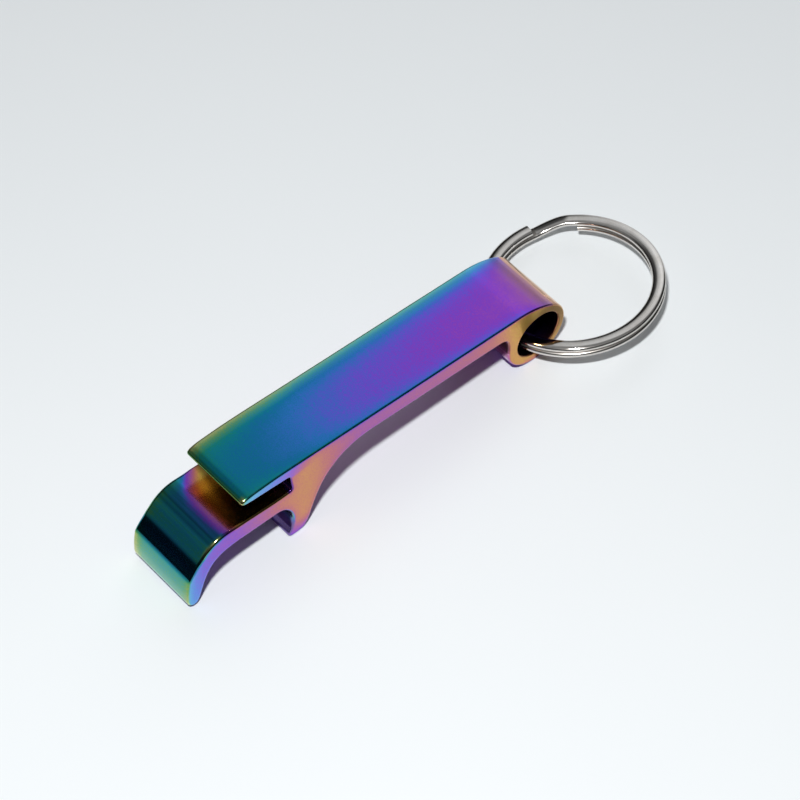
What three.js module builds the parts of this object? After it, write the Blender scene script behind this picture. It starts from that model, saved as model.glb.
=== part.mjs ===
// Keychain bottle opener: a short length of extruded metal profile with a lip and slot,
// a hooked nose, a cap claw and an eye, and a two-turn split ring that hangs in the eye.
// Units are millimetres, +Z is up, the object lies on its claw and its eye at Z = 0,
// and +X runs from the nose to the ring. The outline is drawn in X and Z about the eye,
// and the extrusion runs along Y.
import * as THREE from 'three';

// ---- driving dimensions, mm ----
const BODY_WIDTH = 11.0;          // length of profile that was cut off, along Y
const EYE_RADIUS = 5.05;          // outside of the rolled eye
const EYE_HEIGHT = 5.05;          // height of the eye's centre above the table
const BORE_RADIUS = 3.65;         // hole through the eye
const BORE_OFFSET = 0.25;         // the hole sits slightly towards the ring
const PLATE_TOP_AT_EYE = 11.2;    // height of the plate's top line above the eye's centre
const PLATE_SLOPE = 0.081;        // rise of the plate towards the nose, mm per mm
const PLATE_THICKNESS = 2.9;      // measured upright
const PLATE_TOP_START = -4.2;     // X where the top becomes straight
const PLATE_TOP_END = -41.0;      // X where the lip starts to bend down
const UNDER_START = -27.5;        // X where the underside becomes straight
const UNDER_END = -7.2;           // X where the underside meets the eye's fillet
const RING_OUTER_RADIUS = 12.5;   // 25 mm split ring
const RING_WIRE_WIDTH = 1.85;     // across the ring's plane
const RING_WIRE_HEIGHT = 0.94;    // one turn
const RING_TURN_GAP = 0.08;       // between the two turns
const RING_CENTRE = [10.06, -1.90, 4.00];
const RING_NORMAL = [-0.0209, 0.1278, 0.9916];
const RING_LOW_END = 43;          // degrees round the ring: cut end of the lower turn
const RING_HIGH_END = 77;         // degrees: cut end of the upper turn
const RING_STEP_START = 75;       // degrees: the wire starts to climb
const RING_STEP_END = 54;         // degrees: the wire has reached the upper turn

const topZ = (x) => PLATE_TOP_AT_EYE - PLATE_SLOPE * x;
const underZ = (x) => topZ(x) - PLATE_THICKNESS;

const outline = [];
function push(x, z) {
  const last = outline[outline.length - 1];
  if (!last || Math.hypot(last.x - x, last.y - z) > 0.02) outline.push(new THREE.Vector2(x, z));
}
function arc(cx, cz, r, a0, a1, n) {
  for (let i = 0; i <= n; i++) {
    const a = THREE.MathUtils.degToRad(a0 + (a1 - a0) * i / n);
    push(cx + r * Math.cos(a), cz + r * Math.sin(a));
  }
}
function spline(points, perSpan) {
  const curve = new THREE.CatmullRomCurve3(points.map(([x, z]) => new THREE.Vector3(x, z, 0)), false, 'centripetal');
  const n = perSpan * (points.length - 1);
  for (let i = 0; i <= n; i++) { const p = curve.getPoint(i / n); push(p.x, p.y); }
}

// eye: once round under the eye, then up its far side
arc(0, EYE_HEIGHT, EYE_RADIUS, 180, 415, 40);
// shoulder that carries the eye's curve into the plate's top
spline([[2.90, 9.19], [2.15, 9.68], [1.2, 10.2], [0, 10.72], [-1.4, 11.14], [-2.8, 11.4], [PLATE_TOP_START, topZ(PLATE_TOP_START)]], 2);
// top face, then the lip: it bends down a little and ends in a thin rounded edge
spline([[PLATE_TOP_END, topZ(PLATE_TOP_END)], [-43, 14.66], [-45, 14.76], [-47, 14.8], [-48.6, 14.79], [-49.5, 14.72],
  [-50.05, 14.54], [-50.35, 14.22], [-50.25, 13.88], [-49.8, 13.68], [-49, 13.57], [-47.2, 13.4], [-45.5, 13.22], [-44.2, 13.08], [-43.2, 13]], 2);
// root of the slot
spline([[-43.2, 13], [-42.82, 12.9], [-42.6, 12.68], [-42.5, 12.3]], 2);
spline([[-42.32, 10.25], [-42.36, 9.98], [-42.52, 9.83], [-42.85, 9.78]], 2);
// top of the arm, over the nose, round its tip and back along the underside
spline([[-42.85, 9.78], [-44.2, 9.79], [-46, 9.9], [-48, 10.08], [-50, 10.27], [-51.8, 10.45], [-53.1, 10.54], [-54.2, 10.42],
  [-55.2, 10.05], [-56.15, 9.45], [-57.05, 8.62], [-57.68, 8], [-58.36, 7.15], [-58.93, 6.38], [-59.32, 5.82], [-59.45, 5.5],
  [-59.55, 5.05], [-59.68, 4.3], [-59.78, 3.5], [-59.84, 2.6], [-59.86, 1.7], [-59.7, 1.05], [-59.3, 0.62], [-58.8, 0.5], [-58.35, 0.64], [-58.05, 1.05], [-57.75, 1.75], [-57.35, 2.85],
  [-56.9, 4], [-56.35, 5.1], [-55.7, 6], [-54.85, 6.7], [-53.8, 7.1], [-52.6, 7.28], [-51, 7.33], [-49, 7.28], [-47, 7.18],
  [-45.6, 7.1], [-44.9, 7.05]], 2);
// round notch and the inside of the claw
spline([[-44.9, 7.05], [-44.2, 6.9], [-43.5, 6.4], [-42.9, 5.6], [-42.5, 4.6], [-42.33, 3.6], [-42.36, 2.6], [-42.62, 1.75],
  [-43, 1.1], [-43.25, 0.65], [-43.2, 0.28], [-42.85, 0.05], [-42.4, 0]], 2);
// claw foot, then the hollow back of the claw up to the plate's underside
spline([[-41.7, 0], [-41.1, 0.1], [-40.55, 0.42], [-40.1, 0.98], [-39.7, 1.8], [-39.3, 2.85], [-38.75, 4.2], [-38.1, 5.6],
  [-37.3, 6.95], [-36.3, 8.15], [-35.1, 9.15], [-33.7, 9.95], [-32.1, 10.45], [-30.6, 10.66], [-29.2, underZ(-29.2)],
  [UNDER_START, underZ(UNDER_START)]], 2);
// straight underside, fillet into the eye
spline([[UNDER_END, underZ(UNDER_END)], [-6.5, 8.8], [-5.85, 8.55], [-5.35, 8.05], [-5.12, 7.35], [-5.06, 6.5], [-5.05, 5.7]], 2);

const profile = new THREE.Shape(outline);
const bore = new THREE.Path();
bore.absarc(BORE_OFFSET, EYE_HEIGHT, BORE_RADIUS, 0, Math.PI * 2, true);
profile.holes.push(bore);

const openerGeometry = new THREE.ExtrudeGeometry(profile, { depth: BODY_WIDTH, bevelEnabled: false, curveSegments: 24 });
const opener = new THREE.Mesh(openerGeometry, new THREE.MeshStandardMaterial({ color: 0x6a3fb0, roughness: 0.32, metalness: 0.9 }));
opener.name = 'opener_body';
opener.rotation.x = Math.PI / 2;            // shape's y becomes up, the extrusion runs along -Y
opener.position.y = BODY_WIDTH / 2;

// split ring: one wire, nearly two turns, that climbs from the lower to the upper turn
class RingWire extends THREE.Curve {
  getPoint(t, target = new THREE.Vector3()) {
    const start = RING_LOW_END;
    const end = RING_HIGH_END - 720;
    const a = start + (end - start) * t;
    const s0 = RING_STEP_START - 360, s1 = RING_STEP_END - 360;
    const k = THREE.MathUtils.smoothstep(s0 - a, 0, s0 - s1);
    const pitch = RING_WIRE_HEIGHT + RING_TURN_GAP;
    const r = RING_OUTER_RADIUS - RING_WIRE_WIDTH / 2;
    const rad = THREE.MathUtils.degToRad(a);
    return target.set(r * Math.cos(rad), r * Math.sin(rad), pitch * (k - 0.5));
  }
}
const h = RING_WIRE_HEIGHT / 2, w = RING_WIRE_WIDTH / 2, c = 0.33;
const wireSection = new THREE.Shape([
  new THREE.Vector2(-h, -w + c), new THREE.Vector2(-h + c, -w), new THREE.Vector2(h - c, -w), new THREE.Vector2(h, -w + c),
  new THREE.Vector2(h, w - c), new THREE.Vector2(h - c, w), new THREE.Vector2(-h + c, w), new THREE.Vector2(-h, w - c)]);
const ringGeometry = new THREE.ExtrudeGeometry(wireSection, { steps: 110, extrudePath: new RingWire(), bevelEnabled: false });
const ring = new THREE.Mesh(ringGeometry, new THREE.MeshStandardMaterial({ color: 0xb9b6b0, roughness: 0.2, metalness: 1.0 }));
ring.name = 'split_ring';
{
  const n = new THREE.Vector3(...RING_NORMAL).normalize();
  const u = new THREE.Vector3(1, 0, 0).addScaledVector(n, -n.x).normalize();
  const v = new THREE.Vector3().crossVectors(n, u);
  ring.quaternion.setFromRotationMatrix(new THREE.Matrix4().makeBasis(u, v, n));
  ring.position.set(...RING_CENTRE);
}

const keychain = new THREE.Group();
keychain.add(opener, ring);

// origin: middle of the footprint, on the table
keychain.updateMatrixWorld(true);
const box = new THREE.Box3().setFromObject(keychain, true);
const centre = box.getCenter(new THREE.Vector3());
keychain.position.set(-centre.x, -centre.y, -box.min.z);

export default keychain;
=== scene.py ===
"""Keychain bottle opener on its split ring.

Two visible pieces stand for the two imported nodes:
  opener_metal  the extruded opener, anodised in rainbow colours, rides body "opener"
  ring_wire     the nickel plated split ring, rides body "ring"
Lengths in the tables below are millimetres about the eye, as the outline is drawn; SHIFT takes them to the row frame.
"""
import math

import bpy
import numpy as np
from mathutils import Matrix, Vector, geometry


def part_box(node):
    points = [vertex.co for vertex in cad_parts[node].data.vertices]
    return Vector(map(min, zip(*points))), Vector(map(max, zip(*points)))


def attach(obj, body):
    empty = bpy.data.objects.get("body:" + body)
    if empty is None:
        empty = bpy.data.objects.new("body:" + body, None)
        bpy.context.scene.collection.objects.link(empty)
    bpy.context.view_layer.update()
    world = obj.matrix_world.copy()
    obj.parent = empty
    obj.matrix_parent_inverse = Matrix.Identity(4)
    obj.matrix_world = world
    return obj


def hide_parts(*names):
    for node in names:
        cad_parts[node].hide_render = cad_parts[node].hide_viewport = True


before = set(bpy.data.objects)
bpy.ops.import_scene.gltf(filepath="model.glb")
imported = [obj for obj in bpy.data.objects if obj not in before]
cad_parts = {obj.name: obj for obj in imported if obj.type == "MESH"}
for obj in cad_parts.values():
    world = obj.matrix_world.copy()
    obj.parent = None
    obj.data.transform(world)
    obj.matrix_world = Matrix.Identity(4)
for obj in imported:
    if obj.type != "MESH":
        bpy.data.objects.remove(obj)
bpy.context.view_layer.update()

SCENE = bpy.context.scene
RNG = np.random.default_rng(20261118)

# ------------------------------------------------------------------ dimensions
WIDTH = 11.0
EYE_R = 5.05
EYE_Z = 5.05
BORE_R = 3.65
BORE_X = 0.25
TOP_0, SLOPE, THICK = 11.2, 0.081, 2.9
EDGE_R = 0.31            # rounding of the cut edges
RING_R, WIRE_W, WIRE_H, TURN_GAP = 12.5, 1.85, 0.95, 0.06
RING_C = np.array([10.06, -1.90, 4.00])
RING_N = np.array([-0.0209, 0.1278, 0.9916])
LOW_END, HIGH_END, STEP_START, STEP_END = 43.0, 77.0, 76.5, 49.0


def top_z(x):
    return TOP_0 - SLOPE * x


def under_z(x):
    return top_z(x) - THICK


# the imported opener's box fixes where the drawn outline lies
lo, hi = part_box("opener_body")
SHIFT = np.array([hi.x * 1000 - EYE_R, (lo.y + hi.y) * 500, lo.z * 1000])


# ------------------------------------------------------------------ small tools
def clip01(v):
    return np.clip(v, 0.0, 1.0)


def smooth(e0, e1, v):
    t = clip01((np.asarray(v, float) - e0) / (e1 - e0))
    return t * t * (3 - 2 * t)


def catmull(points, per_span):
    """Centripetal Catmull-Rom through the points."""
    p = np.array(points, float)
    n = len(p)
    out = []
    for i in range(n - 1):
        p1, p2 = p[i], p[i + 1]
        p0 = p[i - 1] if i > 0 else 2 * p[0] - p[1]
        p3 = p[i + 2] if i + 2 < n else 2 * p[-1] - p[-2]
        d0, d1, d2 = (float(((a - b) ** 2).sum()) ** 0.25 for a, b in ((p0, p1), (p1, p2), (p2, p3)))
        d1 = 1.0 if d1 < 1e-4 else d1
        d0 = d1 if d0 < 1e-4 else d0
        d2 = d1 if d2 < 1e-4 else d2
        t1 = ((p1 - p0) / d0 - (p2 - p0) / (d0 + d1) + (p2 - p1) / d1) * d1
        t2 = ((p2 - p1) / d1 - (p3 - p1) / (d1 + d2) + (p3 - p2) / d2) * d1
        c2 = -3 * p1 + 3 * p2 - 2 * t1 - t2
        c3 = 2 * p1 - 2 * p2 + t1 + t2
        for k in range(per_span):
            s = k / per_span
            out.append(p1 + t1 * s + c2 * s * s + c3 * s ** 3)
    out.append(p[-1])
    return np.array(out)


def hash_noise(x, y, seed):
    """Smooth value noise on two coordinates, 0..1, for surface variation stored on the mesh."""
    x, y = np.broadcast_arrays(np.asarray(x, float), np.asarray(y, float))
    xi, yi = np.floor(x).astype(int), np.floor(y).astype(int)
    fx, fy = x - xi, y - yi
    fx, fy = fx * fx * (3 - 2 * fx), fy * fy * (3 - 2 * fy)

    def h(a, b):
        v = np.sin(a * 127.1 + b * 311.7 + seed * 74.7) * 43758.5453
        return v - np.floor(v)

    return (h(xi, yi) * (1 - fx) * (1 - fy) + h(xi + 1, yi) * fx * (1 - fy)
            + h(xi, yi + 1) * (1 - fx) * fy + h(xi + 1, yi + 1) * fx * fy)


# ------------------------------------------------------------------ outline
EYE, SHOULDER, TOP, LIP, SLOT, ARM, NOTCH, FOOT, BACK, UNDER, FILLET = range(11)


def outline():
    """Dense closed outline: points (x, z) and the region each point belongs to."""
    parts = []
    a = np.radians(np.linspace(180, 415, 300))
    parts.append((EYE, np.c_[EYE_R * np.cos(a), EYE_Z + EYE_R * np.sin(a)]))
    parts.append((SHOULDER, catmull([[2.90, 9.19], [2.15, 9.68], [1.2, 10.2], [0, 10.72], [-1.4, 11.14], [-2.8, 11.4],
                                     [-4.2, top_z(-4.2)]], 16)))
    parts.append((TOP, np.array([[-4.2, top_z(-4.2)], [-41.0, top_z(-41.0)]])))
    parts.append((LIP, catmull([[-41.0, top_z(-41.0)], [-43, 14.66], [-45, 14.76], [-47, 14.8], [-48.6, 14.79],
                                [-49.5, 14.72], [-50.05, 14.54], [-50.35, 14.22], [-50.25, 13.88], [-49.8, 13.68],
                                [-49, 13.57], [-47.2, 13.4], [-45.5, 13.22], [-44.2, 13.08], [-43.2, 13]], 16)))
    parts.append((SLOT, catmull([[-43.2, 13], [-42.82, 12.9], [-42.6, 12.68], [-42.5, 12.3]], 16)))
    parts.append((SLOT, np.array([[-42.5, 12.3], [-42.32, 10.25]])))
    parts.append((SLOT, catmull([[-42.32, 10.25], [-42.36, 9.98], [-42.52, 9.83], [-42.85, 9.78]], 16)))
    parts.append((ARM, catmull([[-42.85, 9.78], [-44.2, 9.79], [-46, 9.9], [-48, 10.08], [-50, 10.27], [-51.8, 10.45],
                                [-53.1, 10.54], [-54.2, 10.42], [-55.2, 10.05], [-56.15, 9.45], [-57.05, 8.62],
                                [-57.68, 8], [-58.36, 7.15], [-58.93, 6.38], [-59.32, 5.82], [-59.45, 5.5],
                                [-59.55, 5.05], [-59.68, 4.3], [-59.78, 3.5], [-59.84, 2.6], [-59.86, 1.7],
                                [-59.7, 1.05], [-59.3, 0.62], [-58.8, 0.5], [-58.35, 0.64], [-58.05, 1.05],
                                [-57.75, 1.75], [-57.35, 2.85], [-56.9, 4], [-56.35, 5.1], [-55.7, 6], [-54.85, 6.7],
                                [-53.8, 7.1], [-52.6, 7.28], [-51, 7.33], [-49, 7.28], [-47, 7.18], [-45.6, 7.1],
                                [-44.9, 7.05]], 16)))
    parts.append((NOTCH, catmull([[-44.9, 7.05], [-44.2, 6.9], [-43.5, 6.4], [-42.9, 5.6], [-42.5, 4.6], [-42.33, 3.6],
                                  [-42.36, 2.6], [-42.62, 1.75], [-43, 1.1], [-43.25, 0.65], [-43.2, 0.28],
                                  [-42.85, 0.05], [-42.4, 0]], 16)))
    parts.append((FOOT, np.array([[-42.4, 0], [-41.7, 0]])))
    parts.append((BACK, catmull([[-41.7, 0], [-41.1, 0.1], [-40.55, 0.42], [-40.1, 0.98], [-39.7, 1.8], [-39.3, 2.85],
                                 [-38.75, 4.2], [-38.1, 5.6], [-37.3, 6.95], [-36.3, 8.15], [-35.1, 9.15], [-33.7, 9.95],
                                 [-32.1, 10.45], [-30.6, 10.66], [-29.2, under_z(-29.2)], [-27.5, under_z(-27.5)]], 16)))
    parts.append((UNDER, np.array([[-27.5, under_z(-27.5)], [-7.2, under_z(-7.2)]])))
    parts.append((FILLET, catmull([[-7.2, under_z(-7.2)], [-6.5, 8.8], [-5.85, 8.55], [-5.35, 8.05], [-5.12, 7.35],
                                   [-5.06, 6.5], [-5.05, 5.7]], 16)))
    parts.append((FILLET, np.array([[-5.05, 5.7], [-5.05, 5.05]])))
    pts, regs = [], []
    for region, p in parts:
        step = np.hypot(*np.diff(p, axis=0).T)
        s = np.r_[0, np.cumsum(step)]
        spacing = 0.45 if region in (TOP, UNDER) else 0.16
        n = max(2, int(math.ceil(s[-1] / spacing)) + 1)
        q = np.linspace(0, s[-1], n)
        r = np.c_[np.interp(q, s, p[:, 0]), np.interp(q, s, p[:, 1])]
        for v in r:
            if pts and np.hypot(*(v - pts[-1])) < 0.02:
                continue
            pts.append(v)
            regs.append(region)
    if np.hypot(*(pts[0] - pts[-1])) < 0.02:
        pts.pop(); regs.pop()
    return np.array(pts), np.array(regs)


def outward(p):
    """Unit normals of a closed loop that runs anticlockwise, pointing out of the metal."""
    a, b = np.roll(p, 1, 0), np.roll(p, -1, 0)
    e0, e1 = p - a, b - p
    e0 /= np.hypot(*e0.T)[:, None]
    e1 /= np.hypot(*e1.T)[:, None]
    t = e0 + e1
    t /= np.hypot(*t.T)[:, None]
    return np.c_[t[:, 1], -t[:, 0]]


# ------------------------------------------------------------------ how the coating's colour lies on the metal
# "film" runs along the colours that a growing oxide film shows, 0 gold .. 1 green; "pale" lifts it towards paler tones
# of the same colours, which in places is a painted highlight and over the nose tip a painted reflection.
def film_top(x, y):
    base = np.interp(x, [-50.5, -48, -45, -42, -39, -35, -31, -26, -20, -14, -8, -3, -1, 1.0, 2.4, 3.6, 5.1],
                     [0.815, 0.775, 0.745, 0.715, 0.680, 0.635, 0.598, 0.568, 0.542, 0.520, 0.503, 0.490, 0.465, 0.40, 0.32, 0.20, 0.10])
    far = np.interp(y, [-5.5, -5.2, -4.6, -3.8, -2.5, 0, 1.5, 3.0, 4.0, 4.5, 5.0, 5.5],
                    [0.100, 0.085, 0.035, 0.0, -0.012, 0.0, 0.018, 0.068, 0.150, 0.215, 0.290, 0.36])
    keep = np.interp(x, [-50, -40, -10, 3], [0.62, 0.8, 1.0, 0.75])
    return base + far * keep


def film_side(x, z, dist):
    """The cut faces: dist is how far a point is from the nearest edge."""
    base = np.interp(x, [-60, -58.6, -57, -55.8, -54, -52, -50, -48, -46, -44, -42, -40, -38.5, -36, -34, -31, -28, -25, -18, -12,
                         -8, -6, -4.6, -2, 5],
                     [0.690, 0.605, 0.545, 0.525, 0.500, 0.475, 0.415, 0.355, 0.285, 0.215, 0.165, 0.155, 0.175, 0.240, 0.300,
                      0.360, 0.365, 0.355, 0.330, 0.295, 0.235, 0.165, 0.080, 0.035, 0.045])
    lip = np.interp(x, [-50.4, -49.4, -48.2, -46, -43.5, -41, -38], [0.790, 0.680, 0.612, 0.572, 0.500, 0.390, 0.265])
    up = smooth(12.3, 13.1, z) * (1 - smooth(-42.5, -37.5, x))
    base = base * (1 - up) + lip * up
    rim = np.interp(x, [-60, -50, -44, -35, -28, -8, -5, 5], [0.05, 0.07, 0.13, 0.13, 0.08, 0.07, 0.05, 0.06])
    shift = rim * np.exp(-dist / 0.55)
    low = (1 - smooth(0.4, 1.6, z)) * (x > -6) * 0.16           # under the eye the colour runs on to purple
    foot = (1 - smooth(0.0, 3.2, z)) * (x < -38) * (x > -45) * 0.26
    return base + shift + low + foot


def pale_side(x, z, dist):
    p = np.interp(x, [-60, -58.8, -57, -50, -44, 5], [0.62, 0.46, 0.20, 0.08, 0.02, 0.03])
    up = smooth(12.3, 13.1, z) * (1 - smooth(-43.5, -39, x))
    p = p * (1 - up) + np.interp(x, [-50.4, -49, -47, -44, -40], [0.80, 0.74, 0.55, 0.36, 0.2]) * up
    return p + np.interp(x, [-60, -52, -45, 5], [0.35, 0.22, 0.10, 0.10]) * np.exp(-dist / 0.26)


def film_arm(x, y):
    """Top of the arm, seen in front of the lip: gold by the lip, then round through violet and blue to teal."""
    lag = np.interp(y, [-5.5, -4.8, -4.0, -3.0, -0.5, 1.0, 2.0, 3.0, 4.0, 4.8, 5.5],
                    [0.55, 0.25, 0.12, 0.0, 0.0, 0.20, 0.45, 0.85, 1.60, 2.3, 2.9])
    base = np.interp(x - lag, [-60, -57.5, -55.5, -54.8, -54.4, -53.9, -53.4, -52.9, -52.5, -52.2, -51.9, -51.4, -50.9, -50.0],
                     [0.84, 0.82, 0.775, 0.735, 0.71, 0.61, 0.505, 0.42, 0.335, 0.26, 0.18, 0.06, 0.01, 0.0])
    return base + 0.07 * smooth(3.6, 5.0, y) * smooth(0.5, 0.75, base)


def nearest(px, pz, loops):
    d = np.full(len(px), 1e9)
    for loop in loops:
        for i in range(0, len(px), 2000):
            q = np.hypot(px[i:i + 2000, None] - loop[None, :, 0], pz[i:i + 2000, None] - loop[None, :, 1]).min(1)
            d[i:i + 2000] = np.minimum(d[i:i + 2000], q)
    return d


def build_opener():
    pts, regs = outline()
    nrm = outward(pts)
    n = len(pts)
    seg = np.hypot(*(np.roll(pts, -1, 0) - pts).T)
    arclen = np.r_[0, np.cumsum(seg)[:-1]]

    m = 216
    ang = -np.linspace(0, 2 * math.pi, m, endpoint=False)      # the hole's loop runs the other way
    bore = np.c_[BORE_X + BORE_R * np.cos(ang), EYE_Z + BORE_R * np.sin(ang)]
    bore_n = np.c_[-np.cos(ang), -np.sin(ang)]                 # out of the metal is into the hole

    half = WIDTH / 2
    rows_y, rows_in, rows_th = [], [], []
    k = 6
    for i in range(k + 1):                                     # near rounding, from the cap to the wall
        th = math.pi / 2 * (1 - i / k) + (1e-9 if i == k else 0)
        rows_y.append(-(half - EDGE_R + EDGE_R * math.sin(th))); rows_in.append(EDGE_R * (1 - math.cos(th))); rows_th.append(-th)
    mid = np.concatenate([-half + np.array([0.52, 0.7, 1.0, 1.4, 1.9]),
                          np.linspace(-3.1, 3.1, 12), half - np.array([1.9, 1.4, 1.0, 0.7, 0.52])])
    for y in mid:
        rows_y.append(float(y)); rows_in.append(0.0); rows_th.append(0.0)
    for i in range(k + 1):
        th = math.pi / 2 * i / k + (1e-9 if i == 0 else 0)
        rows_y.append(half - EDGE_R + EDGE_R * math.sin(th)); rows_in.append(EDGE_R * (1 - math.cos(th))); rows_th.append(th)
    rows = len(rows_y)

    co, no, kind, u_along, regions = [], [], [], [], []
    faces = []

    def strip(loop, ln, length, region_of, is_bore):
        base = len(co)
        c = len(loop)
        lx, lz, tl = loop[:, 0], loop[:, 1], np.degrees(np.arctan2(-ln[:, 0], ln[:, 1]))
        # the rounding is generous over the arm and nose, and less on the lip, the eye and the claw's point
        over = smooth(-49.5, -51.5, lx) * smooth(6.3, 8.2, lz)
        er = EDGE_R + (0.50 - EDGE_R) * over * (1 if not is_bore else 0)
        er = er + 0.09 * smooth(-48.5, -49.8, lx) * smooth(12.8, 13.4, lz)
        er = er * np.where(is_bore, 0.75, 1.0)
        gain = er / EDGE_R
        # the rounding is not perfectly even along a real, tumbled edge
        wob_n = 1 + 0.16 * (hash_noise(length * 0.35, 0.0, 3) - 0.5) + 0.08 * (hash_noise(length * 1.3, 0.0, 5) - 0.5)
        wob_f = 1 + 0.16 * (hash_noise(length * 0.35, 7.0, 3) - 0.5) + 0.08 * (hash_noise(length * 1.3, 7.0, 5) - 0.5)
        for j in range(rows):
            w = (wob_n if rows_y[j] < 0 else wob_f) * gain
            ins = rows_in[j] * w
            q = loop - ln * ins[:, None]
            ct, st = math.cos(rows_th[j]), math.sin(rows_th[j])
            for i in range(c):
                yy = rows_y[j]
                if rows_th[j] != 0:      # the rounding's depth along Y grows with its radius
                    yy = math.copysign(half - (half - abs(yy)) * gain[i], yy)
                co.append((q[i, 0], yy, q[i, 1]))
                no.append((ln[i, 0] * ct, st, ln[i, 1] * ct))
                kind.append(2 if is_bore else (1 if rows_th[j] != 0 else 0))
                u_along.append(length[i])
                regions.append(region_of[i])
        for j in range(rows - 1):
            for i in range(c):
                a = base + j * c + i
                b = base + j * c + (i + 1) % c
                faces.append((a, b, b + c, a + c))
        return base, base + (rows - 1) * c

    near0, far0 = strip(pts, nrm, arclen, regs, False)
    bore_len = np.linspace(0, 2 * math.pi * BORE_R, m, endpoint=False)
    bnear0, bfar0 = strip(bore, bore_n, bore_len, np.full(m, 20), True)

    # caps: constrained triangulation with points inside, so that colours vary smoothly over them
    for side, base_o, base_b in ((-1, near0, bnear0), (1, far0, bfar0)):
        ring_o = np.array([[co[base_o + i][0], co[base_o + i][2]] for i in range(n)])
        ring_b = np.array([[co[base_b + i][0], co[base_b + i][2]] for i in range(m)])
        gx, gz = np.meshgrid(np.arange(-59.5, 5.2, 0.55), np.arange(0.3, 15, 0.55))
        gx = gx + 0.275 * (np.arange(gx.shape[0]) % 2)[:, None]
        cand = np.c_[gx.ravel(), gz.ravel()]
        inside = np.zeros(len(cand), bool)
        x0, z0 = ring_o[:, 0], ring_o[:, 1]
        x1, z1 = np.roll(x0, -1), np.roll(z0, -1)
        for i in range(n):
            cross = (z0[i] > cand[:, 1]) != (z1[i] > cand[:, 1])
            if cross.any():
                xi = x0[i] + (cand[:, 1] - z0[i]) / (z1[i] - z0[i] + 1e-15) * (x1[i] - x0[i])
                inside ^= cross & (cand[:, 0] < xi)
        dist = np.full(len(cand), 1e9)
        for ring in (ring_o, ring_b):
            d = np.sqrt(((cand[:, None, :] - ring[None, :, :]) ** 2).sum(2)).min(1)
            dist = np.minimum(dist, d)
        inb = np.hypot(cand[:, 0] - BORE_X, cand[:, 1] - EYE_Z) < BORE_R + EDGE_R
        cand = cand[inside & (dist > 0.3) & ~inb]
        allp = np.vstack([ring_o, ring_b, cand])
        edges = [(i, (i + 1) % n) for i in range(n)] + [(n + i, n + (i + 1) % m) for i in range(m)]
        v2, _, tris, orig, _, _ = geometry.delaunay_2d_cdt([Vector(p) for p in allp], edges, [], 1, 1e-7)
        index = {}
        cap_base = len(co)
        y = side * half
        for i, v in enumerate(v2):
            o = [k2 for k2 in orig[i]]
            first = min(o) if o else None
            if first is not None and first < n:
                index[i] = base_o + first
            elif first is not None and first < n + m:
                index[i] = base_b + first - n
            else:
                index[i] = len(co)
                co.append((v.x, y, v.y)); no.append((0, side, 0)); kind.append(3); u_along.append(0.0); regions.append(30)
        for t in tris:
            cx = sum(v2[i].x for i in t) / 3
            cz = sum(v2[i].y for i in t) / 3
            if math.hypot(cx - BORE_X, cz - EYE_Z) < BORE_R + EDGE_R * 0.6:
                continue
            f = [index[i] for i in t]
            a, b, c = (np.array(co[i]) for i in f)
            if np.cross(b - a, c - a)[1] * side < 0:
                f = f[::-1]
            faces.append(tuple(f))

    co = np.array(co); no = np.array(no, float)
    no /= np.linalg.norm(no, axis=1)[:, None]
    kind = np.array(kind); u_along = np.array(u_along); regions = np.array(regions)
    return co, no, kind, u_along, regions, faces, [pts, bore]


def wind(co_mm, normals, faces):
    """Turns every face so that it faces the way its vertices' normals point."""
    out = []
    for f in faces:
        i = list(f)
        a, b, c = co_mm[i[0]], co_mm[i[1]], co_mm[i[2]]
        fn = np.cross(c - a, (co_mm[i[3]] - b) if len(i) == 4 else (b - a))
        if len(i) == 3:
            fn = -fn
        out.append(tuple(reversed(i)) if float(fn @ normals[i].sum(0)) < 0 else tuple(i))
    return out


def mesh_object(name, co_mm, faces, normals, attrs):
    faces = wind(co_mm, normals, faces)
    me = bpy.data.meshes.new(name)
    me.from_pydata(((co_mm + SHIFT) / 1000.0).tolist(), [], faces)
    me.update()
    for p in me.polygons:
        p.use_smooth = True
    for key, val in attrs.items():
        at = me.attributes.new(key, "FLOAT", "POINT")
        at.data.foreach_set("value", np.asarray(val, np.float32))
    me.normals_split_custom_set_from_vertices(normals.tolist())
    ob = bpy.data.objects.new(name, me)
    SCENE.collection.objects.link(ob)
    return ob


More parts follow.
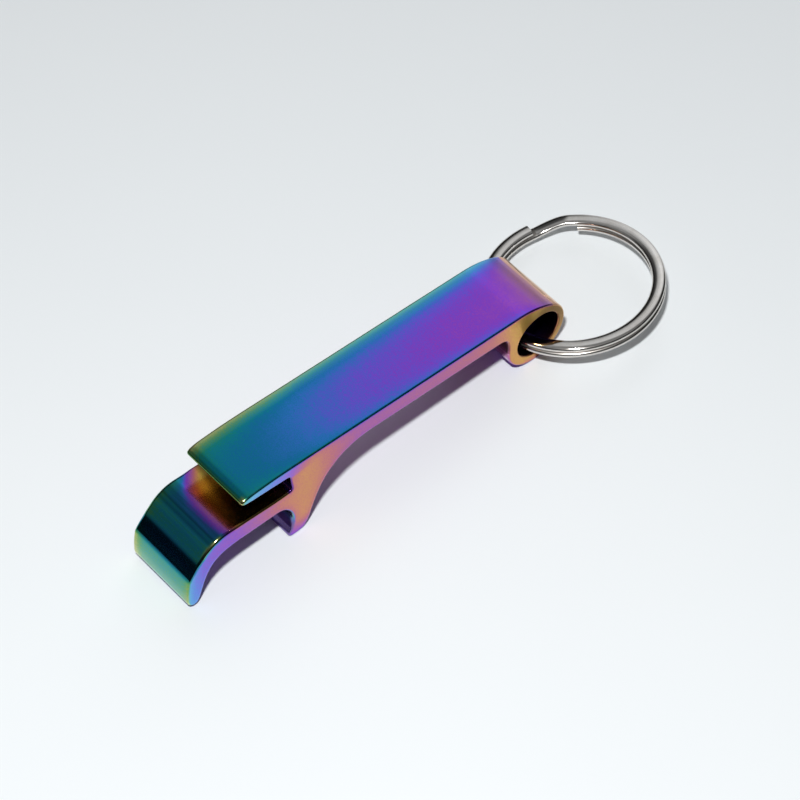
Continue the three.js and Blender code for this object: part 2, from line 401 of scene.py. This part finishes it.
# ------------------------------------------------------------------ material helpers
class Nodes:
    def __init__(self, mat):
        mat.use_nodes = True
        self.t = mat.node_tree
        self.t.nodes.clear()

    def add(self, kind, **kw):
        nd = self.t.nodes.new(kind)
        for k, v in kw.items():
            setattr(nd, k, v)
        return nd

    def link(self, a, b):
        self.t.links.new(a, b)

    def math(self, op, a, b=None, c=None, clamp=False):
        nd = self.add("ShaderNodeMath", operation=op, use_clamp=clamp)
        for i, v in enumerate((a, b, c)):
            if v is None:
                continue
            if isinstance(v, (int, float)):
                nd.inputs[i].default_value = v
            else:
                self.link(v, nd.inputs[i])
        return nd.outputs[0]

    def attr(self, name):
        nd = self.add("ShaderNodeAttribute", attribute_name=name, attribute_type="GEOMETRY")
        return nd.outputs["Fac"]

    def noise(self, vec, scale, detail=3.0, rough=0.5):
        nd = self.add("ShaderNodeTexNoise")
        nd.inputs["Scale"].default_value = scale
        nd.inputs["Detail"].default_value = detail
        nd.inputs["Roughness"].default_value = rough
        self.link(vec, nd.inputs["Vector"])
        return nd.outputs["Fac"]

    def mapping(self, vec, scale, loc=(0, 0, 0)):
        nd = self.add("ShaderNodeMapping")
        nd.inputs["Scale"].default_value = scale
        nd.inputs["Location"].default_value = loc
        self.link(vec, nd.inputs["Vector"])
        return nd.outputs["Vector"]

    def ramp(self, fac, stops, interp="LINEAR"):
        nd = self.add("ShaderNodeValToRGB")
        cr = nd.color_ramp
        cr.interpolation = interp
        while len(cr.elements) > 1:
            cr.elements.remove(cr.elements[-1])
        cr.elements[0].position = stops[0][0]
        cr.elements[0].color = (*stops[0][1], 1)
        for pos, col in stops[1:]:
            e = cr.elements.new(pos)
            e.color = (*col, 1)
        self.link(fac, nd.inputs["Fac"])
        return nd.outputs["Color"]

    def mix(self, fac, a, b, blend="MIX"):
        nd = self.add("ShaderNodeMix", data_type="RGBA", blend_type=blend)
        if isinstance(fac, (int, float)):
            nd.inputs[0].default_value = fac
        else:
            self.link(fac, nd.inputs[0])
        for sock, v in ((nd.inputs[6], a), (nd.inputs[7], b)):
            if isinstance(v, tuple):
                sock.default_value = (*v, 1)
            else:
                self.link(v, sock)
        return nd.outputs[2]

    def bump(self, height, strength, dist, normal=None):
        nd = self.add("ShaderNodeBump")
        nd.inputs["Strength"].default_value = strength
        nd.inputs["Distance"].default_value = dist
        self.link(height, nd.inputs["Height"])
        if normal is not None:
            self.link(normal, nd.inputs["Normal"])
        return nd.outputs["Normal"]


FILM = [(0.00, (0.68, 0.46, 0.06)), (0.09, (0.66, 0.33, 0.085)), (0.17, (0.62, 0.245, 0.125)), (0.26, (0.54, 0.158, 0.19)),
        (0.34, (0.45, 0.120, 0.31)), (0.42, (0.35, 0.090, 0.44)), (0.50, (0.255, 0.054, 0.56)), (0.56, (0.160, 0.088, 0.66)),
        (0.61, (0.080, 0.135, 0.64)), (0.66, (0.030, 0.185, 0.56)), (0.74, (0.010, 0.19, 0.41)), (0.81, (0.009, 0.26, 0.33)),
        (0.88, (0.020, 0.30, 0.19)), (0.94, (0.09, 0.33, 0.08)), (1.00, (0.33, 0.40, 0.07))]
FILM_PALE = [(0.00, (0.80, 0.66, 0.30)), (0.17, (0.80, 0.48, 0.32)), (0.34, (0.72, 0.42, 0.60)), (0.50, (0.46, 0.34, 0.85)),
             (0.61, (0.22, 0.42, 0.95)), (0.70, (0.18, 0.58, 0.80)), (0.81, (0.22, 0.62, 0.55)), (0.90, (0.42, 0.60, 0.36)),
             (1.00, (0.70, 0.68, 0.34))]


def coated_metal():
    mat = bpy.data.materials.new("rainbow_anodised")
    g = Nodes(mat)
    out = g.add("ShaderNodeOutputMaterial")
    bs = g.add("ShaderNodeBsdfPrincipled")
    g.link(bs.outputs[0], out.inputs[0])
    obj = g.add("ShaderNodeTexCoord").outputs["Object"]
    film, pale, painted_shade = g.attr("film"), g.attr("pale"), g.attr("painted_shade")
    gloss, edge, wall = g.attr("gloss"), g.attr("edge"), g.attr("wall")

    # the film's thickness drifts a little, in soft clouds, along die lines (they run across the width) and in fine grain
    cloud = g.noise(obj, 260.0, 3.0, 0.55)
    grain = g.noise(obj, 5200.0, 2.0, 0.6)
    die = g.noise(g.mapping(obj, (2600.0, 60.0, 2600.0)), 1.0, 3.0, 0.6)
    f = g.math("ADD", film, g.math("MULTIPLY", g.math("SUBTRACT", cloud, 0.5), 0.050))
    f = g.math("ADD", f, g.math("MULTIPLY", g.math("SUBTRACT", grain, 0.5), 0.20))
    f = g.math("ADD", f, g.math("MULTIPLY", g.math("MULTIPLY", g.math("SUBTRACT", die, 0.5), wall), 0.045), clamp=True)
    streak = g.attr("streak")
    band = g.noise(g.mapping(obj, (1500.0, 45.0, 1500.0), (3.1, 0.4, 7.7)), 1.0, 4.0, 0.65)
    f = g.math("ADD", f, g.math("MULTIPLY", g.math("MULTIPLY", g.math("SUBTRACT", band, 0.5), streak), 0.20), clamp=True)
    col = g.ramp(f, FILM)
    colp = g.ramp(f, FILM_PALE)
    col = g.mix(pale, col, colp)
    # rubbed edges: the coat thins and the metal shows through in places
    rub = g.math("MULTIPLY", edge, g.math("SUBTRACT", g.noise(obj, 1500.0, 3.0, 0.7), 0.52), clamp=True)
    rub = g.math("MULTIPLY", rub, 4.0, clamp=True)
    col = g.mix(g.math("MULTIPLY", rub, 0.22), col, (0.62, 0.58, 0.54))
    # painted shade: the shade stored on the mesh, and dark streaks over the nose, pull the colour towards black
    shadow = g.math("ADD", painted_shade, g.math("MULTIPLY", g.math("MULTIPLY", g.math("SUBTRACT", band, 0.50), streak), 0.8), clamp=True)
    col = g.mix(shadow, col, (0.004, 0.004, 0.006))
    g.link(col, bs.inputs["Base Color"])
    bs.inputs["Metallic"].default_value = 1.0

    # roughness: satin on the top, brighter where gloss is high, grain everywhere
    r = g.math("MULTIPLY_ADD", gloss, -0.26, 0.33)
    r = g.math("ADD", r, g.math("MULTIPLY", g.math("SUBTRACT", grain, 0.5), 0.10))
    r = g.math("ADD", r, g.math("MULTIPLY", g.math("SUBTRACT", cloud, 0.5), 0.06))
    r = g.math("ADD", r, g.math("MULTIPLY", rub, 0.08), clamp=True)
    g.link(r, bs.inputs["Roughness"])

    n1 = g.bump(grain, 0.05, 0.00002)
    n2 = g.bump(g.math("MULTIPLY", die, wall), 0.07, 0.00003, n1)
    fine = g.noise(g.mapping(obj, (900.0, 900.0, 900.0)), 1.0, 2.0, 0.5)
    n3 = g.bump(fine, 0.03, 0.00006, n2)
    g.link(n3, bs.inputs["Normal"])
    return mat


def ring_steel():
    mat = bpy.data.materials.new("nickel_wire")
    g = Nodes(mat)
    out = g.add("ShaderNodeOutputMaterial")
    bs = g.add("ShaderNodeBsdfPrincipled")
    g.link(bs.outputs[0], out.inputs[0])
    obj = g.add("ShaderNodeTexCoord").outputs["Object"]
    along, around, groove = g.attr("along"), g.attr("around"), g.attr("groove")
    comb = g.add("ShaderNodeCombineXYZ")
    g.link(g.math("MULTIPLY", along, 0.35), comb.inputs[0])
    g.link(g.math("MULTIPLY", around, 9.0), comb.inputs[1])
    drawn = g.noise(comb.outputs[0], 1.0, 4.0, 0.65)
    cloud = g.noise(obj, 420.0, 3.0, 0.6)
    speck = g.noise(obj, 3800.0, 2.0, 0.6)
    tone = g.math("ADD", g.math("MULTIPLY", cloud, 0.6), g.math("MULTIPLY", drawn, 0.4))
    col = g.ramp(tone, [(0.25, (0.58, 0.54, 0.49)), (0.5, (0.72, 0.685, 0.645)), (0.75, (0.80, 0.78, 0.75))])
    # painted shade: where the two turns lie on each other the wire is darkened towards brown-black and made rougher;
    # the cut ends get a little of the same
    col = g.mix(g.math("MULTIPLY", groove, 0.75), col, (0.10, 0.085, 0.07))
    g.link(col, bs.inputs["Base Color"])
    bs.inputs["Metallic"].default_value = 1.0
    r = g.math("ADD", g.math("MULTIPLY", drawn, 0.10), 0.035)
    r = g.math("ADD", r, g.math("MULTIPLY", cloud, 0.07))
    r = g.math("ADD", r, g.math("MULTIPLY", groove, 0.25), clamp=True)
    g.link(r, bs.inputs["Roughness"])
    n1 = g.bump(drawn, 0.22, 0.00003)
    n2 = g.bump(speck, 0.06, 0.00002, n1)
    g.link(n2, bs.inputs["Normal"])
    return mat


# ------------------------------------------------------------------ opener
co, no, kind, u_along, regions, faces, loops = build_opener()
x, y, z = co.T
nx, ny, nz = no.T
ay = np.abs(y)
dist = nearest(x, z, loops)
tilt = np.degrees(np.arctan2(-nx, nz))                  # 0 faces up, 90 faces the nose end, 180 faces down

ftop = film_top(x, y)
fside = film_side(x, z, dist)
edge_y = clip01((ay - 4.4) / 1.1)
f = np.full(len(co), 0.35)
# the darkening set below is painted shade, from none to black
pale = np.full(len(co), 0.06); painted_shade = np.zeros(len(co)); gloss = np.full(len(co), 0.55)

m = np.isin(regions, (TOP, SHOULDER))
# painted shade: the top darkens a little towards the lip
f[m] = ftop[m]; gloss[m] = 0.42; painted_shade[m] = (0.10 * smooth(-36, -41, x))[m]
# painted highlight: the top is made paler along its far edge
far_pale = np.interp(y, [3.6, 4.6, 5.2, 5.5], [0, 0.22, 0.60, 0.75])
pale[m] = np.maximum(far_pale, np.interp(x, [-3, 0, 1.2, 2.4, 3.6], [0.0, 0.04, 0.22, 0.52, 0.78]))[m]
# painted shade in a band over the shoulder by the eye
painted_shade[m] = np.maximum(painted_shade, 0.16 * smooth(2.2, 3.0, x) * (1 - smooth(3.6, 4.4, x)))[m]

m = regions == LIP
w = smooth(12, 50, tilt)
front = np.interp(tilt, [0, 40, 75, 110, 140, 175], [0.90, 0.93, 0.95, 0.99, 1.0, 0.10])
f[m] = (ftop * (1 - w) + front * w)[m]
under = m & ((nz < -0.5) | (tilt < -60))
f[under] = 0.07
pale[m] = (far_pale * (1 - w) + 0.05 * w)[m]
# painted highlight: the lip's near corner is made pale yellow where the key light glints on it
corner_glint = m & (y < -4.5) & (tilt > 8) & (tilt < 150)
cm = smooth(-4.5, -5.1, y) * smooth(8, 20, tilt)
f[corner_glint] = (f * (1 - cm) + 0.99 * cm)[corner_glint]
pale[corner_glint] = (pale * (1 - cm) + 0.6 * cm)[corner_glint]
# painted shade on the lip: a little all over, more over its front, and some on its underside
painted_shade[m] = (0.10 + 0.24 * smooth(25, 60, tilt) * (1 - smooth(110, 140, tilt)) + 0.10 * smooth(135, 170, tilt))[m]
gloss[m] = 0.42 + 0.33 * w[m]

m = regions == SLOT
# painted shade inside the slot
f[m] = 0.52; painted_shade[m] = 0.62; gloss[m] = 0.6

m = regions == ARM
arm_film = film_arm(x, y)
f[m] = arm_film[m]
gloss[m] = 0.9 - 0.35 * smooth(-55.5, -53.0, x)[m]
top_arm = m & (tilt > -40) & (tilt < 40) & (z > 8.5)
# painted shade on the arm's top: the lip's shadow close under the lip, a darker patch further out towards the nose,
# and darker towards the far side; close under the lip the colour is also made greyer
shade = smooth(-50.6, -49.2, x - 0.12 * (y - 1)) * 0.75
painted_shade[top_arm] = np.maximum(np.maximum(painted_shade, shade), 0.46 * smooth(-52.1, -52.9, x) * (1 - smooth(-54.6, -55.4, x)))[top_arm]
pale[top_arm] = (0.05 + 0.30 * smooth(-51.4, -50.4, x) * (1 - smooth(1.5, 3.5, y)))[top_arm]
painted_shade[top_arm] = np.maximum(painted_shade, 0.20 * smooth(1.6, 3.6, y) * smooth(-52.6, -51.8, x))[top_arm]
# over the nose: deep teal, then navy; below the soft ridge the tip is made pale, a painted reflection of the bright
# table, and just above the ridge a band of painted shade stands in for the dark room's reflection
nose = m & (x < -54.8) & (tilt > 15) & (tilt < 140)
fn = np.interp(z, [0, 2.0, 5.2, 5.75, 6.1, 7.2, 8.4, 9.4, 10.2], [0.875, 0.85, 0.84, 0.81, 0.74, 0.67, 0.80, 0.80, 0.77])
fn = fn + np.interp(y, [-5.5, -5.0, -4.3, 0, 3.6, 4.7, 5.5], [0.13, 0.08, 0.03, 0.0, 0.03, 0.11, 0.17]) * (1 - 0.25 * smooth(5.2, 6.2, z))
mixn = smooth(-54.8, -55.8, x)
f[nose] = (arm_film * (1 - mixn) + fn * mixn)[nose]
band = (1 - smooth(5.45, 5.75, z))
pale[nose] = (0.05 + band * (np.interp(z, [0.6, 1.7, 2.6, 3.5, 5.0], [0.60, 0.44, 0.30, 0.15, 0.08]) + 0.30 * edge_y * (y > 0)))[nose]
painted_shade[nose] = (0.22 * smooth(5.6, 5.9, z) * (1 - smooth(6.8, 8.0, z)))[nose]
# painted highlight: along the nose's near edge the colour is made pale yellow where the key light glints
glint = m & (x > -57.2) & (x < -53.2) & (y < -4.7) & (tilt < 70) & (tilt > -40)
gm = smooth(-4.75, -5.25, y) * smooth(-57.2, -56.4, x) * (1 - smooth(-54.2, -53.2, x))
f[glint] = (f * (1 - gm) + 0.98 * gm)[glint]; pale[glint] = (pale * (1 - gm) + 0.6 * gm)[glint]
under = m & ((tilt >= 140) | (tilt < -60)) & ~top_arm
f[under] = np.interp(x, [-59.5, -57, -54, -50, -45], [0.62, 0.56, 0.48, 0.42, 0.40])[under]
pale[under] = 0.1

m = regions == NOTCH
# painted shade inside the notch, greyed as well
f[m] = np.interp(z, [0, 2, 4, 6.5], [0.50, 0.45, 0.80, 0.9])[m]; painted_shade[m] = 0.50; pale[m] = 0.85; gloss[m] = 0.75
m = regions == FOOT
f[m] = 0.55
m = regions == BACK
f[m] = np.interp(z, [0, 2, 6, 11], [0.58, 0.45, 0.40, 0.38])[m]
m = regions == UNDER
f[m] = 0.40
m = regions == FILLET
# painted shade in the fillet under the plate, deepest part way up
f[m] = np.interp(z, [5, 7.5, 9], [0.34, 0.22, 0.36])[m]; painted_shade[m] = np.interp(z, [5.0, 6.2, 8], [0.25, 0.7, 0.45])[m]
m = regions == EYE
ang = np.degrees(np.arctan2(z - EYE_Z, x))                # 0 faces the ring end
f[m] = np.interp(ang, [-180, -150, -120, -90, -60, -30, 0, 30, 55, 180], [0.34, 0.40, 0.50, 0.52, 0.42, 0.20, 0.08, 0.08, 0.20, 0.34])[m]
pale[m] = np.interp(ang, [-60, 0, 40, 60], [0.1, 0.25, 0.6, 0.85])[m]
gloss[m] = 0.6
m = regions == 20
f[m] = np.interp(ay, [3.5, 5.0, 5.5], [0.55, 0.35, 0.12])[m]
# painted shade inside the bore, deepest in the middle of its length
painted_shade[m] = np.interp(ay, [4.0, 5.0, 5.5], [0.86, 0.70, 0.25])[m]
gloss[m] = 0.4

# cut faces, and over the rounding a smooth run from the wall's colour to the cut face's
th = np.where(kind == 3, 1.0, np.abs(np.arcsin(np.clip(ny, -1, 1))) / (math.pi / 2))
w = smooth(0.42, 1.0, th)
ps = pale_side(x, z, dist) * (1 - 0.6 * smooth(-6, -3, x))
eye_ang = np.degrees(np.arctan2(z - EYE_Z, x))
# painted shade on the cut faces round the eye, darker over its ring side and upper side, fading out at the eye's outer
# edge
eye_painted_shade = np.interp(eye_ang, [-70, -35, 0, 30, 60, 82, 94, 106], [0.0, 0.24, 0.46, 0.56, 0.50, 0.40, 0.18, 0.0])
eye_painted_shade = eye_painted_shade * (1 - smooth(4.7, 5.6, np.hypot(x, z - EYE_Z)))
film = f * (1 - w) + fside * w
pale = pale * (1 - w) + ps * w
painted_shade = painted_shade * (1 - w) + eye_painted_shade * w
gloss = gloss * (1 - w) + (0.80 - 0.72 * smooth(-7.5, -4.5, x)) * w
edge = np.where((kind == 1) | ((kind == 2) & (th > 0.1)), np.sin(th * math.pi), 0.0)
wall = np.where(kind == 3, 0.0, 1.0 - w)
# streaks across the width over the top of the nose and arm: the film shifts along them, and their dark parts add
# painted shade
streak = np.where(nose | top_arm, smooth(-52.2, -54.6, x) * smooth(5.7, 6.2, z) * (1 - w), 0.0)
# the top's near edge: the coat runs on to blue as it turns over
film = film + np.where(np.isin(regions, (TOP,)) & (y < 0), 0.13 * smooth(0.0, 0.3, th) * (1 - smooth(0.6, 0.95, th)), 0.0)

opener = mesh_object("opener_metal", co, faces, no,
                     {"film": film, "pale": pale, "painted_shade": painted_shade, "gloss": gloss, "edge": edge, "wall": wall, "streak": streak})
opener.data.materials.append(coated_metal())
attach(opener, "opener")
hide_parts("opener_body")


# ------------------------------------------------------------------ split ring
def build_ring():
    nvec = RING_N / np.linalg.norm(RING_N)
    uvec = np.array([1.0, 0, 0]) - nvec * nvec[0]
    uvec /= np.linalg.norm(uvec)
    vvec = np.cross(nvec, uvec)
    basis = np.c_[uvec, vvec, nvec]
    steps = 1100
    a = np.radians(np.linspace(LOW_END, HIGH_END - 720, steps + 1))
    s0, s1 = math.radians(STEP_START - 360), math.radians(STEP_END - 360)
    kk = smooth(0.0, 1.0, (s0 - a) / (s0 - s1))
    r = RING_R - WIRE_W / 2
    pitch = WIRE_H + TURN_GAP
    path = np.c_[r * np.cos(a), r * np.sin(a), pitch * (kk - 0.5)]
    tang = np.gradient(path, axis=0)
    tang /= np.linalg.norm(tang, axis=1)[:, None]
    er = np.c_[np.cos(a), np.sin(a), np.zeros_like(a)]
    er -= tang * (er * tang).sum(1)[:, None]
    er /= np.linalg.norm(er, axis=1)[:, None]
    ez = np.cross(er, -tang)
    ez *= np.sign(ez[:, 2])[:, None]
    # section: flattened round wire, nearly flat on its faces
    w, h, q = WIRE_W / 2, WIRE_H / 2, 2.0 / 2.4
    fine = np.radians(np.linspace(0, 360, 1441))
    curve = np.c_[w * np.sign(np.cos(fine)) * np.abs(np.cos(fine)) ** q, h * np.sign(np.sin(fine)) * np.abs(np.sin(fine)) ** q]
    run = np.r_[0, np.cumsum(np.hypot(*np.diff(curve, axis=0).T))]
    at = np.linspace(0, run[-1], 37)[:-1]
    sec = np.c_[np.interp(at, run, curve[:, 0]), np.interp(at, run, curve[:, 1])]
    c = len(sec)
    sn = outward(sec)
    slen = np.r_[0, np.cumsum(np.hypot(*np.diff(np.vstack([sec, sec[:1]]), axis=0).T))][:-1]
    arc = np.abs(a - a[0]) * r
    co, no, along, around, groove = [], [], [], [], []
    for i in range(steps + 1):
        for j in range(c):
            p = path[i] + er[i] * sec[j, 0] + ez[i] * sec[j, 1]
            q = er[i] * sn[j, 0] + ez[i] * sn[j, 1]
            co.append(p); no.append(q)
            along.append(arc[i]); around.append(slen[j])
            # painted shade between the turns: on the faces that lie against the other turn
            inner = 0.0
            if kk[i] < 0.05 and sec[j, 1] > 0.0 or kk[i] > 0.95 and sec[j, 1] < 0.0:
                inner = abs(sn[j, 1]) ** 3
            groove.append(inner)
    faces = []
    for i in range(steps):
        for j in range(c):
            p0 = i * c + j; p1 = i * c + (j + 1) % c
            faces.append((p0, p0 + c, p1 + c, p1))
    # cut ends: a small burr-free bevel, then a flat face with a slight dish
    for end, sgn in ((0, -1), (steps, 1)):
        t = tang[end] * sgn
        ring_prev = [end * c + j for j in range(c)]
        for lift, scale, dish in ((0.045, 0.93, 0.55), (0.06, 0.84, 0.15), (0.05, 0.45, 0.02)):
            cur = []
            for j in range(c):
                p = path[end] + (er[end] * sec[j, 0] + ez[end] * sec[j, 1]) * scale + t * lift
                q = t * (1 - dish) + (er[end] * sn[j, 0] + ez[end] * sn[j, 1]) * dish
                cur.append(len(co)); co.append(p); no.append(q / np.linalg.norm(q))
                along.append(arc[end]); around.append(slen[j]); groove.append(0.15)
            for j in range(c):
                q4 = (ring_prev[j], ring_prev[(j + 1) % c], cur[(j + 1) % c], cur[j])
                faces.append(q4 if sgn < 0 else q4[::-1])
            ring_prev = cur
        centre = len(co)
        co.append(path[end] + t * 0.045); no.append(t); along.append(arc[end]); around.append(0.0); groove.append(0.1)
        for j in range(c):
            f3 = (ring_prev[j], ring_prev[(j + 1) % c], centre)
            faces.append(f3 if sgn < 0 else f3[::-1])
    co = np.array(co) @ basis.T + RING_C
    no = np.array(no) @ basis.T
    return co, no, np.array(along), np.array(around), np.array(groove), faces


rco, rno, along, around, groove, rfaces = build_ring()
ring = mesh_object("ring_wire", rco, rfaces, rno, {"along": along, "around": around, "groove": groove})
ring.data.materials.append(ring_steel())
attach(ring, "ring")
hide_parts("split_ring")


# ------------------------------------------------------------------ table
def floor_material():
    mat = bpy.data.materials.new("white_table")
    g = Nodes(mat)
    out = g.add("ShaderNodeOutputMaterial")
    bs = g.add("ShaderNodeBsdfPrincipled")
    g.link(bs.outputs[0], out.inputs[0])
    obj = g.add("ShaderNodeTexCoord").outputs["Object"]
    big = g.noise(obj, 9.0, 3.0, 0.5)
    col = g.ramp(big, [(0.3, (0.840, 0.874, 0.890)), (0.7, (0.858, 0.890, 0.904))])
    g.link(col, bs.inputs["Base Color"])
    r = g.math("MULTIPLY_ADD", g.noise(obj, 160.0, 2.0, 0.5), 0.08, 0.28)
    g.link(r, bs.inputs["Roughness"])
    bs.inputs["Specular IOR Level"].default_value = 0.35
    g.link(g.bump(g.noise(obj, 900.0, 2.0, 0.5), 0.03, 0.0001), bs.inputs["Normal"])
    return mat


fm = bpy.data.meshes.new("table_top")
S = 1.6
N = 8
verts = [(-S + 2 * S * i / N, -S + 2 * S * j / N, 0.0) for j in range(N + 1) for i in range(N + 1)]
fm.from_pydata(verts, [], [(j * (N + 1) + i, j * (N + 1) + i + 1, (j + 1) * (N + 1) + i + 1, (j + 1) * (N + 1) + i)
                           for j in range(N) for i in range(N)])
floor = bpy.data.objects.new("table_top", fm)
SCENE.collection.objects.link(floor)
floor.data.materials.append(floor_material())


# ------------------------------------------------------------------ light
def direction(az, el):
    a, e = math.radians(az), math.radians(el)
    return np.array([math.cos(a) * math.cos(e), math.sin(a) * math.cos(e), math.sin(e)])


def area(name, where, target, size, power, color, size_y=None):
    li = bpy.data.lights.new(name, "AREA")
    li.energy = power
    li.color = color
    li.shape = "RECTANGLE" if size_y else "DISK"
    li.size = size
    if size_y:
        li.size_y = size_y
    ob = bpy.data.objects.new(name, li)
    SCENE.collection.objects.link(ob)
    ob.location = Vector(where)
    ob.rotation_euler = (Vector(where) - Vector(target)).to_track_quat("Z", "Y").to_euler()
    return ob


KEY_DIR = np.array([-0.335, -0.283, 0.899])
area("key", KEY_DIR * 0.45, (0, 0, 0), 0.028, 1.80, (1.0, 1.0, 1.0), 0.015)

world = bpy.data.worlds.new("room")
SCENE.world = world
world.use_nodes = True
wt = world.node_tree
wt.nodes.clear()


def wnode(kind, **kw):
    nd = wt.nodes.new(kind)
    for k2, v2 in kw.items():
        setattr(nd, k2, v2)
    return nd


w_out = wnode("ShaderNodeOutputWorld")
w_bg = wnode("ShaderNodeBackground")
wt.links.new(w_bg.outputs[0], w_out.inputs[0])
w_tc = wnode("ShaderNodeTexCoord")
w_norm = wnode("ShaderNodeVectorMath", operation="NORMALIZE")
wt.links.new(w_tc.outputs["Generated"], w_norm.inputs[0])
w_sep = wnode("ShaderNodeSeparateXYZ")
wt.links.new(w_norm.outputs[0], w_sep.inputs[0])


def w_ramp(fac, stops):
    nd = wnode("ShaderNodeValToRGB")
    cr = nd.color_ramp
    cr.interpolation = "EASE"
    while len(cr.elements) > 1:
        cr.elements.remove(cr.elements[-1])
    cr.elements[0].position = stops[0][0]
    cr.elements[0].color = (stops[0][1],) * 3 + (1,)
    for pos, val in stops[1:]:
        e = cr.elements.new(pos)
        e.color = (val,) * 3 + (1,)
    wt.links.new(fac, nd.inputs["Fac"])
    return nd.outputs["Color"]


def w_lobe(az, el, inner, outer, strength):
    d = wnode("ShaderNodeVectorMath", operation="DOT_PRODUCT")
    wt.links.new(w_norm.outputs[0], d.inputs[0])
    d.inputs[1].default_value = tuple(direction(az, el))
    mr = wnode("ShaderNodeMapRange", interpolation_type="SMOOTHSTEP")
    wt.links.new(d.outputs["Value"], mr.inputs["Value"])
    mr.inputs["From Min"].default_value = math.cos(math.radians(outer))
    mr.inputs["From Max"].default_value = math.cos(math.radians(inner))
    mr.inputs["To Min"].default_value = 0.0
    mr.inputs["To Max"].default_value = strength
    return mr.outputs["Result"]


def w_add(a, b):
    nd = wnode("ShaderNodeMath", operation="ADD")
    wt.links.new(a, nd.inputs[0]); wt.links.new(b, nd.inputs[1])
    return nd.outputs[0]


sky = w_ramp(w_sep.outputs["Z"], [(0.0, 0.010), (0.40, 0.02), (0.66, 0.07), (0.80, 0.18), (1.0, 0.20)])
total = w_add(sky, w_lobe(37, 49, 11, 25, 0.50))
total = w_add(total, w_lobe(31, 28, 10, 26, 0.44))
total = w_add(total, w_lobe(28, 10, 13, 26, 0.38))
total = w_add(total, w_lobe(88, 63, 8, 20, 0.12))
total = w_add(total, w_lobe(149, 29, 7, 21, 0.165))
w_bg.inputs["Strength"].default_value = 1.0
w_comb = wnode("ShaderNodeCombineColor")
for ch, gain in ((0, 0.97), (1, 1.0), (2, 1.03)):
    nd = wnode("ShaderNodeMath", operation="MULTIPLY")
    wt.links.new(total, nd.inputs[0]); nd.inputs[1].default_value = gain
    wt.links.new(nd.outputs[0], w_comb.inputs[ch])
wt.links.new(w_comb.outputs[0], w_bg.inputs["Color"])

# ------------------------------------------------------------------ camera
cam_data = bpy.data.cameras.new("camera")
cam_data.sensor_width = 36.0
cam_data.lens = 137.25
cam_data.clip_start = 0.01
cam_data.clip_end = 20.0
camera = bpy.data.objects.new("camera", cam_data)
SCENE.collection.objects.link(camera)
R = np.array([[0.74642, 0.53748, -0.39239], [-0.66547, 0.60053, -0.44330], [-0.00262, 0.59201, 0.80592]])
u0, s_, v0 = np.linalg.svd(R)
R = u0 @ v0
cam_mm = np.array([-176.457, -177.446, 325.221]) + SHIFT
M = Matrix([[*R[0], cam_mm[0] / 1000], [*R[1], cam_mm[1] / 1000], [*R[2], cam_mm[2] / 1000], [0, 0, 0, 1]])
camera.matrix_world = M
SCENE.camera = camera
SCENE.view_settings.view_transform = "Standard"
SCENE.view_settings.look = "None"
